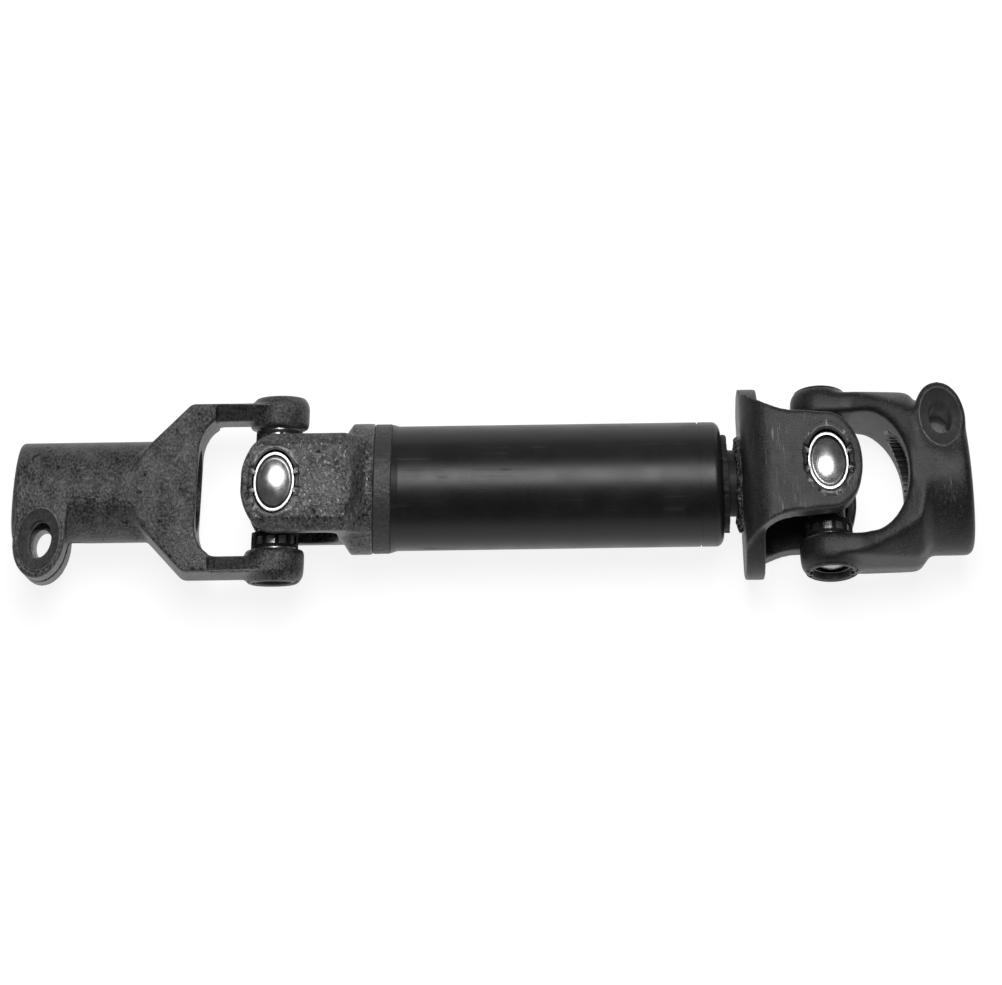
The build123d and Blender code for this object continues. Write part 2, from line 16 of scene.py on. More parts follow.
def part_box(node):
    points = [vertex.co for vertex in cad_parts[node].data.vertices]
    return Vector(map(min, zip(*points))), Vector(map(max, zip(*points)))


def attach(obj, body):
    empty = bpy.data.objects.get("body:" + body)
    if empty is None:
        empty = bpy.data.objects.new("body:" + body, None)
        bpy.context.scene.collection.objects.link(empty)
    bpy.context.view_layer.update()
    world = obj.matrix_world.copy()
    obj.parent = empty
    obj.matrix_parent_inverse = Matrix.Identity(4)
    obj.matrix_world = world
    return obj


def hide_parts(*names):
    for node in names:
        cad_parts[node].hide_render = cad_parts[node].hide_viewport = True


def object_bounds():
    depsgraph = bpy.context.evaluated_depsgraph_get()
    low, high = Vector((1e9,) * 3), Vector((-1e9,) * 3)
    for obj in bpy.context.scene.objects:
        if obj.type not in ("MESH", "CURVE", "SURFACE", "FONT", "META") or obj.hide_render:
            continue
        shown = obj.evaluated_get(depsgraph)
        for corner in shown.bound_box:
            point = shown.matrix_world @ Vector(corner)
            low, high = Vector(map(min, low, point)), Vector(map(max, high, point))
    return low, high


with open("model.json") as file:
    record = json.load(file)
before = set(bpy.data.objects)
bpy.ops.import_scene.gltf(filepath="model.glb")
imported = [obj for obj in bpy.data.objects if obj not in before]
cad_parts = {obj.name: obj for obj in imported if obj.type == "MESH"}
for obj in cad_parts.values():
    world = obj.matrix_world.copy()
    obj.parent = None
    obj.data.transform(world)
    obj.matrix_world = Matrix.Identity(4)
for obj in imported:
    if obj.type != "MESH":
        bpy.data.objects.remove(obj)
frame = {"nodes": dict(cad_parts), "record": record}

MM = 0.001
scene = bpy.context.scene
nodes = frame["nodes"]
solid_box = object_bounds()
print("solid box in mm", [[round(v / MM, 1) for v in corner] for corner in solid_box])

# %% [markdown]
# # The camera, and why its picture is squeezed
# The photograph was squashed sideways to about two thirds, which shows in its round cups and holes. The
# model keeps its true proportions, so only the camera can carry the squeeze. A camera's own settings
# can't do it, but a leaning parent can: its up axis is shortened in the picture's plane and leans along
# the line of sight, so it keeps its full length. The picture is then stretched upwards by the same share.
# A small side effect is that the lower edge looks a little nearer. Any other view drops this parent and
# shows the true proportions.

# %% Camera
SQUEEZE = 0.678
HALF_WIDTH = 185.7 * MM
DISTANCE = 1400 * MM
SENSOR = 36
AIM = Vector((167.5 * MM, -1.6 * MM, 0))
ELEVATION = math.radians(80)
PICTURE_TURN = math.radians(-0.56)
PICTURE_SHIFT = -27 / 1002

data = bpy.data.cameras.new("photo_camera")
data.sensor_width = SENSOR
data.lens = SENSOR / 2 * DISTANCE / HALF_WIDTH
data.shift_x = PICTURE_SHIFT
data.clip_start = 0.01
camera = bpy.data.objects.new("photo_camera", data)
scene.collection.objects.link(camera)

rig = bpy.data.objects.new("camera_rig", None)
scene.collection.objects.link(rig)
turn = Matrix.Rotation(math.pi / 2 - ELEVATION, 4, "X") @ Matrix.Rotation(PICTURE_TURN, 4, "Z")
rig.matrix_world = Matrix.Translation(AIM) @ turn @ Matrix.Translation((0, 0, DISTANCE))
lean = math.sqrt(1 - SQUEEZE * SQUEEZE)
camera.parent = rig
camera.matrix_parent_inverse = Matrix((
    (1, 0, 0, 0),
    (0, SQUEEZE, 0, 0),
    (0, lean, 1, 0),
    (0, 0, 0, 1),
))
scene.camera = camera
print("lens", round(data.lens, 1), "lean", round(lean, 3))

# %% [markdown]
# # Helpers for shader nodes
# Every finish below is built from the same few steps: add a node, do a sum, stretch a value onto 0 to 1,
# and mix two colours or values by a mask. Short helpers keep those steps readable.

# %% Node helpers


def put(tree, kind, settings=None, **inputs):
    """Adds a shader node. Settings are its own choices, inputs are numbers, colours or sockets to link."""
    made = tree.nodes.new(kind)
    for name, value in (settings or {}).items():
        setattr(made, name, value)
    for name, value in inputs.items():
        feed(tree, made.inputs[name.replace("_", " ")], value)
    return made


def feed(tree, socket, value):
    """Links a socket to another, or gives it a plain value."""
    if isinstance(value, bpy.types.NodeSocket):
        tree.links.new(value, socket)
    else:
        socket.default_value = value


def calc(tree, operation, first, second=0.0):
    """A Math node on two values or sockets. A sum is held between 0 and 1."""
    made = tree.nodes.new("ShaderNodeMath")
    made.operation = operation
    made.use_clamp = operation == "ADD"
    feed(tree, made.inputs[0], first)
    feed(tree, made.inputs[1], second)
    return made.outputs[0]


def stretch(tree, value, low, high, to_low=0.0, to_high=1.0):
    """Maps low to high onto another range, held at both ends."""
    made = put(tree, "ShaderNodeMapRange", Value=value, From_Min=low, From_Max=high, To_Min=to_low,
               To_Max=to_high)
    return made.outputs["Result"]


def mix_colour(tree, mask, first, second):
    """First where the mask is 0, second where it is 1."""
    made = put(tree, "ShaderNodeMix", {"data_type": "RGBA"})
    feed(tree, made.inputs[0], mask)
    feed(tree, made.inputs[6], first)
    feed(tree, made.inputs[7], second)
    return made.outputs[2]


def mix_value(tree, mask, first, second):
    """The same for a plain value."""
    made = put(tree, "ShaderNodeMix", {"data_type": "FLOAT"})
    feed(tree, made.inputs[0], mask)
    feed(tree, made.inputs[2], first)
    feed(tree, made.inputs[3], second)
    return made.outputs[0]


def grey(level, warmth=0.0):
    """A grey as a colour, a touch warm or cool."""
    return (level * (1 + warmth), level, level * (1 - warmth), 1)


# %% [markdown]
# # Floor and light
# The shaft lies on a plain pale floor under one large soft lamp high above it, as a product photograph
# has, and a faint strip behind it draws its upper edge. The large lamp is far off and wide, so every face
# that looks straight up catches a soft highlight. That is where the bright line along the tube and the
# spot on each cup's dome come from. A white floor could be had with more light, but that would wash out
# the steel. So the floor glows a little for the camera and for reflections alone, which makes it white
# while it still takes the shadow. The world is a dim room whose walls are white near the floor, so that a
# view from the side has a white background too.

# %% What the camera and reflections see


def background_rays(tree):
    """1 for the rays that show a background, 0 for the ones that light the shaft."""
    path = put(tree, "ShaderNodeLightPath")
    seen = calc(tree, "MAXIMUM", path.outputs["Is Camera Ray"], path.outputs["Is Glossy Ray"])
    return calc(tree, "MAXIMUM", seen, path.outputs["Is Transmission Ray"])


# %% Floor
FLOOR_SIZE = 6.0
FLOOR_COLOUR = grey(0.24)
FLOOR_GLOW = 0.87
floor_z = solid_box[0][2]
floor_mesh = bpy.data.meshes.new("floor")
half = FLOOR_SIZE / 2
floor_mesh.from_pydata(
    [(-half, -half, floor_z), (half, -half, floor_z), (half, half, floor_z), (-half, half, floor_z)],
    [], [(0, 1, 2, 3)],
)
floor = bpy.data.objects.new("floor", floor_mesh)
scene.collection.objects.link(floor)

paper = bpy.data.materials.new("floor_paper")
paper.use_nodes = True
tree = paper.node_tree
tree.nodes.clear()
shown = calc(tree, "MULTIPLY", background_rays(tree), FLOOR_GLOW)
glow = put(tree, "ShaderNodeEmission", Color=(1, 1, 1, 1), Strength=shown)
matt = put(tree, "ShaderNodeBsdfDiffuse", Color=FLOOR_COLOUR)
both = tree.nodes.new("ShaderNodeAddShader")
tree.links.new(glow.outputs[0], both.inputs[0])
tree.links.new(matt.outputs[0], both.inputs[1])
put(tree, "ShaderNodeOutputMaterial", Surface=both.outputs[0])
floor_mesh.materials.append(paper)
print("floor at", round(floor_z / MM, 2), "mm")

# %% World
WORLD_STRENGTH = 0.08
WALL_STRENGTH = 1.0
WALL_LOW = 0.13
WALL_HIGH = 0.24
world = bpy.data.worlds.new("studio")
scene.world = world
world.use_nodes = True
tree = world.node_tree
way = put(tree, "ShaderNodeSeparateXYZ", Vector=put(tree, "ShaderNodeTexCoord").outputs["Generated"])
wall = stretch(tree, way.outputs["Z"], WALL_HIGH, WALL_LOW)
shown = calc(tree, "MULTIPLY", background_rays(tree), wall)
room = tree.nodes["Background"]
room.inputs["Color"].default_value = (1, 1, 1, 1)
feed(tree, room.inputs["Strength"], mix_value(tree, shown, WORLD_STRENGTH, WALL_STRENGTH))
print("world", WORLD_STRENGTH, "and", WALL_STRENGTH, "as a background")

# %% Lamps


def soft_lamp(name, place, size_x, size_y, level):
    """An oval soft lamp that faces the shaft's middle. Level 1 lights white paper to white."""
    lamp = bpy.data.lights.new(name, "AREA")
    lamp.shape = "ELLIPSE"
    lamp.size = size_x
    lamp.size_y = size_y
    away = Vector(place) - Vector((AIM.x, 0, 0))
    lamp.energy = level * math.pi ** 2 * away.length_squared
    holder = bpy.data.objects.new(name, lamp)
    holder.matrix_world = Matrix.Translation(place) @ away.to_track_quat("Z", "Y").to_matrix().to_4x4()
    scene.collection.objects.link(holder)
    print(name, round(lamp.energy, 1), "W")


soft_lamp("overhead_softbox", place=(0.16, 0.32, 1.8), size_x=1.1, size_y=0.9, level=0.78)
soft_lamp("back_rim", place=(0.16, 1.3, 0.7), size_x=1.6, size_y=0.3, level=0.03)
scene.view_settings.view_transform = "Standard"

# %% [markdown]
# # Shared effects
# Steel that was forged, blasted, machined or handled shows the same few things at different strengths:
# fine grain, broad uneven patches, sparkling specks, worn edges and scratches. Each is one node group
# here, built once from noise at the real size of the thing, and every finish places it with its own
# numbers. The groups give out only masks and heights. The one called cylinder zone says which points lie
# inside a round region about an axis, which is how one forging can have machined holes and a splined bore
# in another finish.

# %% Group builder


def shared_group(name, inputs, outputs):
    """An empty node group. Each input has its default here, and every output is a plain value."""
    group = bpy.data.node_groups.new(name, "ShaderNodeTree")
    for label, default in inputs.items():
        kind = "NodeSocketVector" if isinstance(default, tuple) else "NodeSocketFloat"
        group.interface.new_socket(label, in_out="INPUT", socket_type=kind).default_value = default
    for label in outputs:
        group.interface.new_socket(label, in_out="OUTPUT", socket_type="NodeSocketFloat")
    return group, group.nodes.new("NodeGroupInput"), group.nodes.new("NodeGroupOutput")


def vector_sum(tree, operation, first, second):
    """A Vector Math node on two vectors."""
    made = put(tree, "ShaderNodeVectorMath", {"operation": operation})
    feed(tree, made.inputs[0], first)
    feed(tree, made.inputs[1], second)
    return made


# %% Grain, patches and specks
skin_group, start, end = shared_group(
    "forged_skin", {"Vector": (0.0, 0.0, 0.0), "Grain": 2200.0, "Patch": 140.0},
    ("Grain", "Patches", "Specks", "Pits"),
)
tree = skin_group
fine = put(tree, "ShaderNodeTexNoise", Vector=start.outputs["Vector"], Scale=start.outputs["Grain"],
           Detail=3.0, Roughness=0.6)
broad = put(tree, "ShaderNodeTexNoise", Vector=start.outputs["Vector"], Scale=start.outputs["Patch"],
            Detail=4.0, Roughness=0.55)
spots = put(tree, "ShaderNodeTexVoronoi", Vector=start.outputs["Vector"],
            Scale=calc(tree, "MULTIPLY", start.outputs["Grain"], 0.7))
tree.links.new(stretch(tree, fine.outputs["Fac"], 0.37, 0.64), end.inputs["Grain"])
tree.links.new(stretch(tree, broad.outputs["Fac"], 0.35, 0.65), end.inputs["Patches"])
tree.links.new(stretch(tree, spots.outputs["Distance"], 0.28, 0.1), end.inputs["Specks"])
dents = put(tree, "ShaderNodeTexNoise", Vector=start.outputs["Vector"],
            Scale=calc(tree, "MULTIPLY", start.outputs["Grain"], 0.28), Detail=2.0)
tree.links.new(stretch(tree, dents.outputs["Fac"], 0.66, 0.74), end.inputs["Pits"])
print(tree.name, "gives", [socket.name for socket in end.inputs if socket.name])

# %% Worn edges, and painted shade in the hollows
wear_and_shade_group, start, end = shared_group("worn_edges", {"Low": 0.52, "High": 0.6}, ("Wear", "Hollow"))
tree = wear_and_shade_group
geometry = put(tree, "ShaderNodeNewGeometry")
tree.links.new(stretch(tree, geometry.outputs["Pointiness"], start.outputs["Low"], start.outputs["High"]),
               end.inputs["Wear"])
# Hollow is the mask of the painted shade: concave places are darkened as if they lay in shade.
tree.links.new(stretch(tree, geometry.outputs["Pointiness"], 0.49, 0.42), end.inputs["Hollow"])
print(tree.name, "gives", [socket.name for socket in end.inputs if socket.name])

# %% Scratches, drawn out along one way
scratch_group, start, end = shared_group(
    "scratches", {"Vector": (0.0, 0.0, 0.0), "Stretch": (60.0, 1800.0, 1800.0), "Amount": 0.5},
    ("Scratches",),
)
tree = scratch_group
drawn = vector_sum(tree, "MULTIPLY", start.outputs["Vector"], start.outputs["Stretch"]).outputs[0]
lines = put(tree, "ShaderNodeTexNoise", Vector=drawn, Scale=1.0, Detail=2.0)
where = put(tree, "ShaderNodeTexNoise", Vector=start.outputs["Vector"], Scale=90.0, Detail=2.0)
thin = stretch(tree, lines.outputs["Fac"], 0.6, 0.72)
some = stretch(tree, where.outputs["Fac"], 0.45, 0.62)
tree.links.new(calc(tree, "MULTIPLY", calc(tree, "MULTIPLY", thin, some), start.outputs["Amount"]),
               end.inputs["Scratches"])

# %% Cylinder zone
zone_group, start, end = shared_group(
    "cylinder_zone",
    {"Vector": (0.0, 0.0, 0.0), "Centre": (0.0, 0.0, 0.0), "Axis": (1.0, 0.0, 0.0), "Radius": 0.01,
     "Soft": 0.0003},
    ("Inside",),
)
tree = zone_group
away = vector_sum(tree, "SUBTRACT", start.outputs["Vector"], start.outputs["Centre"]).outputs[0]
along = vector_sum(tree, "DOT_PRODUCT", away, start.outputs["Axis"]).outputs["Value"]
square = vector_sum(tree, "DOT_PRODUCT", away, away).outputs["Value"]
across = calc(tree, "SQRT", calc(tree, "SUBTRACT", square, calc(tree, "MULTIPLY", along, along)))
edge = calc(tree, "SUBTRACT", across, start.outputs["Radius"])
outside = stretch(tree, edge, 0.0, start.outputs["Soft"])
tree.links.new(calc(tree, "SUBTRACT", 1.0, outside), end.inputs["Inside"])
print("groups", [group.name for group in bpy.data.node_groups])

# %% [markdown]
# # Where the holes are
# The two joints are rolled a few degrees to opposite sides, so the finishes need each joint's centre and
# the way that its pins point. They come from the record's own joints, which were packed with the solids.

# %% Joint frames
joints = {joint["name"]: joint for joint in frame["record"]["behaviour"]["joints"]}
mounts = {mount["name"]: mount for mount in frame["record"]["mounts"]}
centre = {side: Vector(joints[f"{side}_cross_turn"]["pos_m"]) for side in ("left", "right")}
up = {side: Vector(joints[f"{side}_cross_turn"]["axis"]).normalized() for side in ("left", "right")}
back = {side: Vector(joints[f"{side}_yoke_turn"]["axis"]).normalized() for side in ("left", "right")}
for side in centre:
    print(side, "centre", [round(v / MM, 1) for v in centre[side]], "up", [round(v, 3) for v in up[side]])

# %% [markdown]
# # Steel finishes
# The yokes, the collar and the cross are all bare steel that was treated in its own way. One recipe makes
# them all: a dark and a light grey mixed by patches and grain, lighter worn edges, hollows darkened with
# painted shade, a few scratches, and machined zones that are smoother. The relief is a quarter of a
# millimetre at most, so it breaks up the highlights without changing the shape. A picture of steel laid
# over each yoke could do this too, but these patterns fit any shape and have no seams.

# %% A blank finish
finishes = {}


def blank_finish(name):
    """A material with its node tree, its shader, and the points of the piece that it is on."""
    made = bpy.data.materials.new(name)
    made.use_nodes = True
    tree = made.node_tree
    finishes[name] = made
    return tree, tree.nodes["Principled BSDF"], put(tree, "ShaderNodeTexCoord").outputs["Object"]


# %% Steel recipe
PATCH_SHARE = 0.35
GRAIN_SHARE = 0.65
WEAR_SHARE = 0.7
# Painted shade: the colour that hollows and creases are darkened to.
PAINTED_HOLLOW_SHADE = grey(0.012)
SMOOTHER = 0.07
ROUGHER = 0.09
MACHINED = grey(0.14)
MACHINED_DARK = grey(MACHINED[0] * 0.7)
MACHINED_SHARE = 0.55
MACHINED_ROUGH = 0.38
CALM_FADE = 0.8 * MM


def steel(name, dark, light, worn, metallic, rough, grain, patch, bump, sparkle=0.0, scratch=0.0, holes=(),
          stretch_by=(60.0, 1800.0, 1800.0), hollow_shade=0.6, pits=0.5, calm=(), gloss=0.22):
    """A steel finish. Holes are (centre, axis, radius) in metres, and their walls and rings are machined.
    Calm places are rings in the same form, where the hollows get no painted shade. Bump is the relief in mm."""
    tree, shader, where = blank_finish(name)
    skin = put(tree, "ShaderNodeGroup", {"node_tree": skin_group}, Vector=where, Grain=grain, Patch=patch)
    wear_and_shade = put(tree, "ShaderNodeGroup", {"node_tree": wear_and_shade_group})
    marks = put(tree, "ShaderNodeGroup", {"node_tree": scratch_group}, Vector=where, Stretch=stretch_by,
                Amount=scratch)
    mottle = calc(tree, "ADD", calc(tree, "MULTIPLY", skin.outputs["Patches"], PATCH_SHARE),
                  calc(tree, "MULTIPLY", skin.outputs["Grain"], GRAIN_SHARE))
    mottle = calc(tree, "SUBTRACT", mottle, calc(tree, "MULTIPLY", skin.outputs["Pits"], pits))
    colour = mix_colour(tree, mottle, dark, light)
    colour = mix_colour(tree, calc(tree, "MULTIPLY", skin.outputs["Specks"], sparkle), colour, worn)
    marked = 1.0
    for place, axis, radius in calm:
        zone = put(tree, "ShaderNodeGroup", {"node_tree": zone_group}, Vector=where, Centre=place, Axis=axis,
                   Radius=radius, Soft=CALM_FADE)
        marked = calc(tree, "SUBTRACT", marked, zone.outputs["Inside"])
    # Painted shade: hollows and creases are darkened, except in the calm places.
    hollow = calc(tree, "MULTIPLY", calc(tree, "MULTIPLY", wear_and_shade.outputs["Hollow"], hollow_shade), marked)
    edge = calc(tree, "MULTIPLY", wear_and_shade.outputs["Wear"], WEAR_SHARE)
    colour = mix_colour(tree, hollow, colour, PAINTED_HOLLOW_SHADE)
    colour = mix_colour(tree, edge, colour, worn)
    colour = mix_colour(tree, marks.outputs["Scratches"], colour, worn)
    roughness = stretch(tree, skin.outputs["Grain"], 0.0, 1.0, rough - SMOOTHER, rough + ROUGHER)
    height = mottle
    for place, axis, radius in holes:
        zone = put(tree, "ShaderNodeGroup", {"node_tree": zone_group}, Vector=where, Centre=place, Axis=axis,
                   Radius=radius)
        share = calc(tree, "MULTIPLY", zone.outputs["Inside"], MACHINED_SHARE)
        turned = mix_colour(tree, skin.outputs["Grain"], MACHINED_DARK, MACHINED)
        colour = mix_colour(tree, share, colour, turned)
        roughness = mix_value(tree, share, roughness, MACHINED_ROUGH)
        height = mix_value(tree, share, height, 0.5)
    relief = put(tree, "ShaderNodeBump", Height=height, Strength=0.9, Distance=bump * MM)
    feed(tree, shader.inputs["Base Color"], colour)
    feed(tree, shader.inputs["Roughness"], roughness)
    feed(tree, shader.inputs["Normal"], relief.outputs[0])
    shader.inputs["Metallic"].default_value = metallic
    shader.inputs["Specular IOR Level"].default_value = gloss


# %% Where the yokes are machined
BORE = Vector((1, 0, 0))
LEFT_BORE_RING = 9.9 * MM
RIGHT_BORE_RING = 12.6 * MM
BOLT_RING = 7.95 * MM
SEAT_RING = 10.4 * MM


def bolt(side):
    """Centre and axis of a pinch bolt's hole."""
    hole = mounts[f"{side}_bolt_hole"]
    return tuple(hole["pos_m"]), tuple(hole["axis"])


left_holes = (((0, 0, 0), tuple(BORE), LEFT_BORE_RING), (*bolt("left"), BOLT_RING))
right_holes = (((0, 0, 0), tuple(BORE), RIGHT_BORE_RING), (*bolt("right"), BOLT_RING))
seat_rings = {
    side: tuple((tuple(centre[side]), tuple(way[side]), SEAT_RING) for way in (up, back))
    for side in ("left", "right")
}
print("bolt holes at", [[round(v / MM, 1) for v in bolt(side)[0]] for side in ("left", "right")])

# %% The steels
steel(
    "cast_skin", dark=grey(0.006), light=grey(0.135), worn=grey(0.22), metallic=0.6, rough=0.4, grain=1300.0,
    patch=160.0, bump=0.2, sparkle=0.25, scratch=0.2, holes=left_holes, calm=seat_rings["left"],
)
steel(
    "pad_steel", dark=grey(0.008), light=grey(0.15), worn=grey(0.36), metallic=0.6, rough=0.4, grain=900.0,
    patch=120.0, bump=0.24, sparkle=0.55, scratch=0.3, calm=seat_rings["left"],
)
steel(
    "satin_steel", dark=grey(0.016), light=grey(0.055), worn=grey(0.18), metallic=0.6, rough=0.43,
    grain=2200.0, patch=110.0, bump=0.05, sparkle=0.05, scratch=0.45, stretch_by=(1500.0, 70.0, 1500.0),
    holes=right_holes, pits=0.25, calm=seat_rings["right"],
)
steel(
    "collar_steel", dark=grey(0.004), light=grey(0.03), worn=grey(0.12), metallic=0.5, rough=0.5, grain=900.0,
    patch=300.0, bump=0.14, sparkle=0.25,
)
steel(
    "cross_steel", dark=grey(0.02), light=grey(0.06), worn=grey(0.15), metallic=0.6, rough=0.42, grain=1800.0,
    patch=200.0, bump=0.06,
)
steel(
    "shaft_steel", dark=grey(0.006), light=grey(0.014), worn=grey(0.04), metallic=0.2, rough=0.5,
    grain=2200.0, patch=200.0, bump=0.02, gloss=0.15,
)
# The weld bead's crevices get strong painted shade.
steel(
    "weld_bead", dark=grey(0.005), light=grey(0.04), worn=grey(0.2), metallic=0.4, rough=0.45, grain=1100.0,
    patch=500.0, bump=0.2, sparkle=0.4, hollow_shade=0.9, gloss=0.3,
)
steel(
    "needle_steel", dark=grey(0.4), light=grey(0.6), worn=grey(0.7), metallic=1.0, rough=0.2, grain=2600.0,
    patch=300.0, bump=0.005,
)
print("steels", sorted(finishes))

# %% [markdown]
# # Cup steel
# A needle cup is drawn from bright hardened steel. The stakes press on its flat rim, which shines, the
# domed end is polished, and painted shade draws fine dark lines inside and outside of the rim. The cup's
# mesh carries each point's distance from its own axis as an attribute, so the rings stay round on every pin.

# %% Cup finish
RIM_INNER = 6.5
RIM_OUTER = 7.35
DOME_EDGE = 6.05
LIP_HEIGHT = 20.2


def cup_finish():
    """Bright walls and rim, painted shade lines at both sides of the rim, and a polished dome."""
    tree, shader, where = blank_finish("cup_steel")
    radius = put(tree, "ShaderNodeAttribute", {"attribute_name": "ring_radius"}).outputs["Fac"]
    reach = put(tree, "ShaderNodeAttribute", {"attribute_name": "ring_reach"}).outputs["Fac"]
    skin = put(tree, "ShaderNodeGroup", {"node_tree": skin_group}, Vector=where, Grain=2600.0, Patch=260.0)
    end_face = stretch(tree, reach, LIP_HEIGHT - 0.3, LIP_HEIGHT)
    dome = calc(tree, "MULTIPLY", stretch(tree, radius, RIM_INNER + 0.25, RIM_INNER + 0.1), end_face)
    # Painted shade: the outer corner of the end face and the groove round the dome are coloured almost black,
    # as if they lay in shade.
    corner = calc(tree, "MULTIPLY", stretch(tree, radius, RIM_OUTER - 0.1, RIM_OUTER + 0.15), end_face)
    groove_shade = calc(tree, "MULTIPLY", stretch(tree, radius, DOME_EDGE - 0.25, DOME_EDGE), dome)
    bright = mix_colour(tree, skin.outputs["Grain"], grey(0.28), grey(0.42))
    polished = mix_colour(tree, skin.outputs["Patches"], grey(0.3), grey(0.42))
    colour = mix_colour(tree, dome, bright, polished)
    colour = mix_colour(tree, corner, colour, grey(0.02))
    colour = mix_colour(tree, groove_shade, colour, grey(0.01))
    polish = stretch(tree, skin.outputs["Patches"], 0, 1, 0.19, 0.27)
    roughness = mix_value(tree, dome, stretch(tree, skin.outputs["Grain"], 0, 1, 0.24, 0.36), polish)
    feed(tree, shader.inputs["Base Color"], colour)
    feed(tree, shader.inputs["Roughness"], roughness)
    relief = put(tree, "ShaderNodeBump", Height=skin.outputs["Grain"], Strength=0.5, Distance=0.01 * MM)
    feed(tree, shader.inputs["Normal"], relief.outputs[0])
    shader.inputs["Metallic"].default_value = 0.9


cup_finish()
print("rim from", RIM_INNER, "to", RIM_OUTER, "mm, dome inside", DOME_EDGE)

# %% [markdown]
# # Paint, plastic and rubber
# The tube has a thin satin black paint. Handling and a cloth leave faint streaks along it, which only
# show in the highlight, so they go into the roughness and hardly into the colour. The seals are matt
# rubber with a dusty grain, and the sleeve inside is pale plastic.

# %% Coated finishes


COAT_PATCH = 90.0
COAT_PATCH_SHARE = 0.6
COAT_GRAIN_SHARE = 0.4
STREAKS = (12.0, 900.0, 900.0)
STREAK_COLOUR = grey(0.07)


def coating(name, dark, light, rough, spread, grain, bump, streak=0.0, level=0.5):
    """A finish that isn't metal, with its grain in colour, roughness and relief."""
    tree, shader, where = blank_finish(name)
    skin = put(tree, "ShaderNodeGroup", {"node_tree": skin_group}, Vector=where, Grain=grain,
               Patch=COAT_PATCH)
    marks = put(tree, "ShaderNodeGroup", {"node_tree": scratch_group}, Vector=where, Stretch=STREAKS,
                Amount=streak)
    mottle = calc(tree, "ADD", calc(tree, "MULTIPLY", skin.outputs["Patches"], COAT_PATCH_SHARE),
                  calc(tree, "MULTIPLY", skin.outputs["Grain"], COAT_GRAIN_SHARE))
    colour = mix_colour(tree, mottle, dark, light)
    colour = mix_colour(tree, marks.outputs["Scratches"], colour, STREAK_COLOUR)
    smooth = stretch(tree, mottle, 0.0, 1.0, rough - spread, rough + spread)
    feed(tree, shader.inputs["Base Color"], colour)
    feed(tree, shader.inputs["Roughness"], calc(tree, "ADD", smooth, marks.outputs["Scratches"]))
    relief = put(tree, "ShaderNodeBump", Height=mottle, Strength=0.8, Distance=bump * MM)
    feed(tree, shader.inputs["Normal"], relief.outputs[0])
    shader.inputs["Specular IOR Level"].default_value = level


coating("tube_black", dark=grey(0.007), light=grey(0.014), rough=0.36, spread=0.05, grain=1800.0, bump=0.006,
        streak=0.25, level=0.32)
coating("sleeve_plastic", dark=grey(0.55, 0.03), light=grey(0.68, 0.03), rough=0.42, spread=0.06,
        grain=1500.0, bump=0.01)
coating("seal_rubber", dark=grey(0.006), light=grey(0.02), rough=0.62, spread=0.1, grain=1300.0, bump=0.06,
        level=0.25)
print("finishes", sorted(finishes))

# %% Put each finish on its solids
slot_of = {part["node"]: part["material_slot"] for part in frame["record"]["subparts"]}
for node, slot in slot_of.items():
    mesh = nodes[node].data
    mesh.materials.clear()
    mesh.materials.append(finishes[slot])
print(len(slot_of), "solids in", len(set(slot_of.values())), "finishes")

# %% [markdown]
# # The forged skin of the yokes
# A forging has no sharp edges except where it was machined later. The solids have crisp edges everywhere,
# so each yoke gets a second skin: a copy of the solid is remeshed finely and its points are averaged a
# few times, which rounds every edge by about a millimetre and blends the boss and the fork into the hub.
# The right outer yoke is the smoothest, so its points are averaged more often. The machined places, which
# are the cup seats and, on the outer yokes, the splined bore and the bolt hole, are then cut out of that
# skin and filled with the crisp solid again. Sculpting by hand could do the same, but this follows any
# change of the solids.

# %% Mesh helpers


def in_scene(name, mesh):
    """A plain object at the origin."""
    made = bpy.data.objects.new(name, mesh)
    scene.collection.objects.link(made)
    return made


def baked(worker):
    """The mesh that an object's modifiers give, and the object is removed."""
    graph = bpy.context.evaluated_depsgraph_get()
    mesh = bpy.data.meshes.new_from_object(worker.evaluated_get(graph))
    bpy.data.objects.remove(worker)
    return mesh


def combine(first, operation, second):
    """One boolean of two closed meshes."""
    worker = in_scene("worker", first)
    tool = in_scene("tool", second)
    step = worker.modifiers.new("combine", "BOOLEAN")
    step.operation = operation
    step.solver = "MANIFOLD"
    step.object = tool
    mesh = baked(worker)
    bpy.data.objects.remove(tool)
    return mesh


def stand_for(name, mesh, body, slot, *replaced):
    """Puts a finished mesh in the scene in place of its solids."""
    piece = in_scene(name, mesh)
    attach(piece, body)
    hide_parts(*replaced)
    print(name, "faces", len(mesh.polygons))


def merged_copy(node):
    """The node's mesh with its loose triangles joined up."""
    mesh = nodes[node].data.copy()
    work = bmesh.new()
    work.from_mesh(mesh)
    bmesh.ops.remove_doubles(work, verts=work.verts, dist=1e-6)
    work.to_mesh(mesh)
    work.free()
    return mesh


def round_tool(place, axis, radius, start, end):
    """A closed cylinder along an axis, from start to end measured from the place."""
    work = bmesh.new()
    turn = axis.to_track_quat("Z", "Y").to_matrix().to_4x4()
    spot = Matrix.Translation(place + axis * (start + end) / 2) @ turn
    bmesh.ops.create_cone(work, cap_ends=True, segments=96, radius1=radius, radius2=radius, depth=end - start,
                          matrix=spot)
    mesh = bpy.data.meshes.new("round_tool")
    work.to_mesh(mesh)
    work.free()
    return mesh


# %% Forging
VOXEL = 0.5 * MM
AVERAGING = 8
OVERLAP = 0.02 * MM
SHARP_FORGED = math.radians(35)


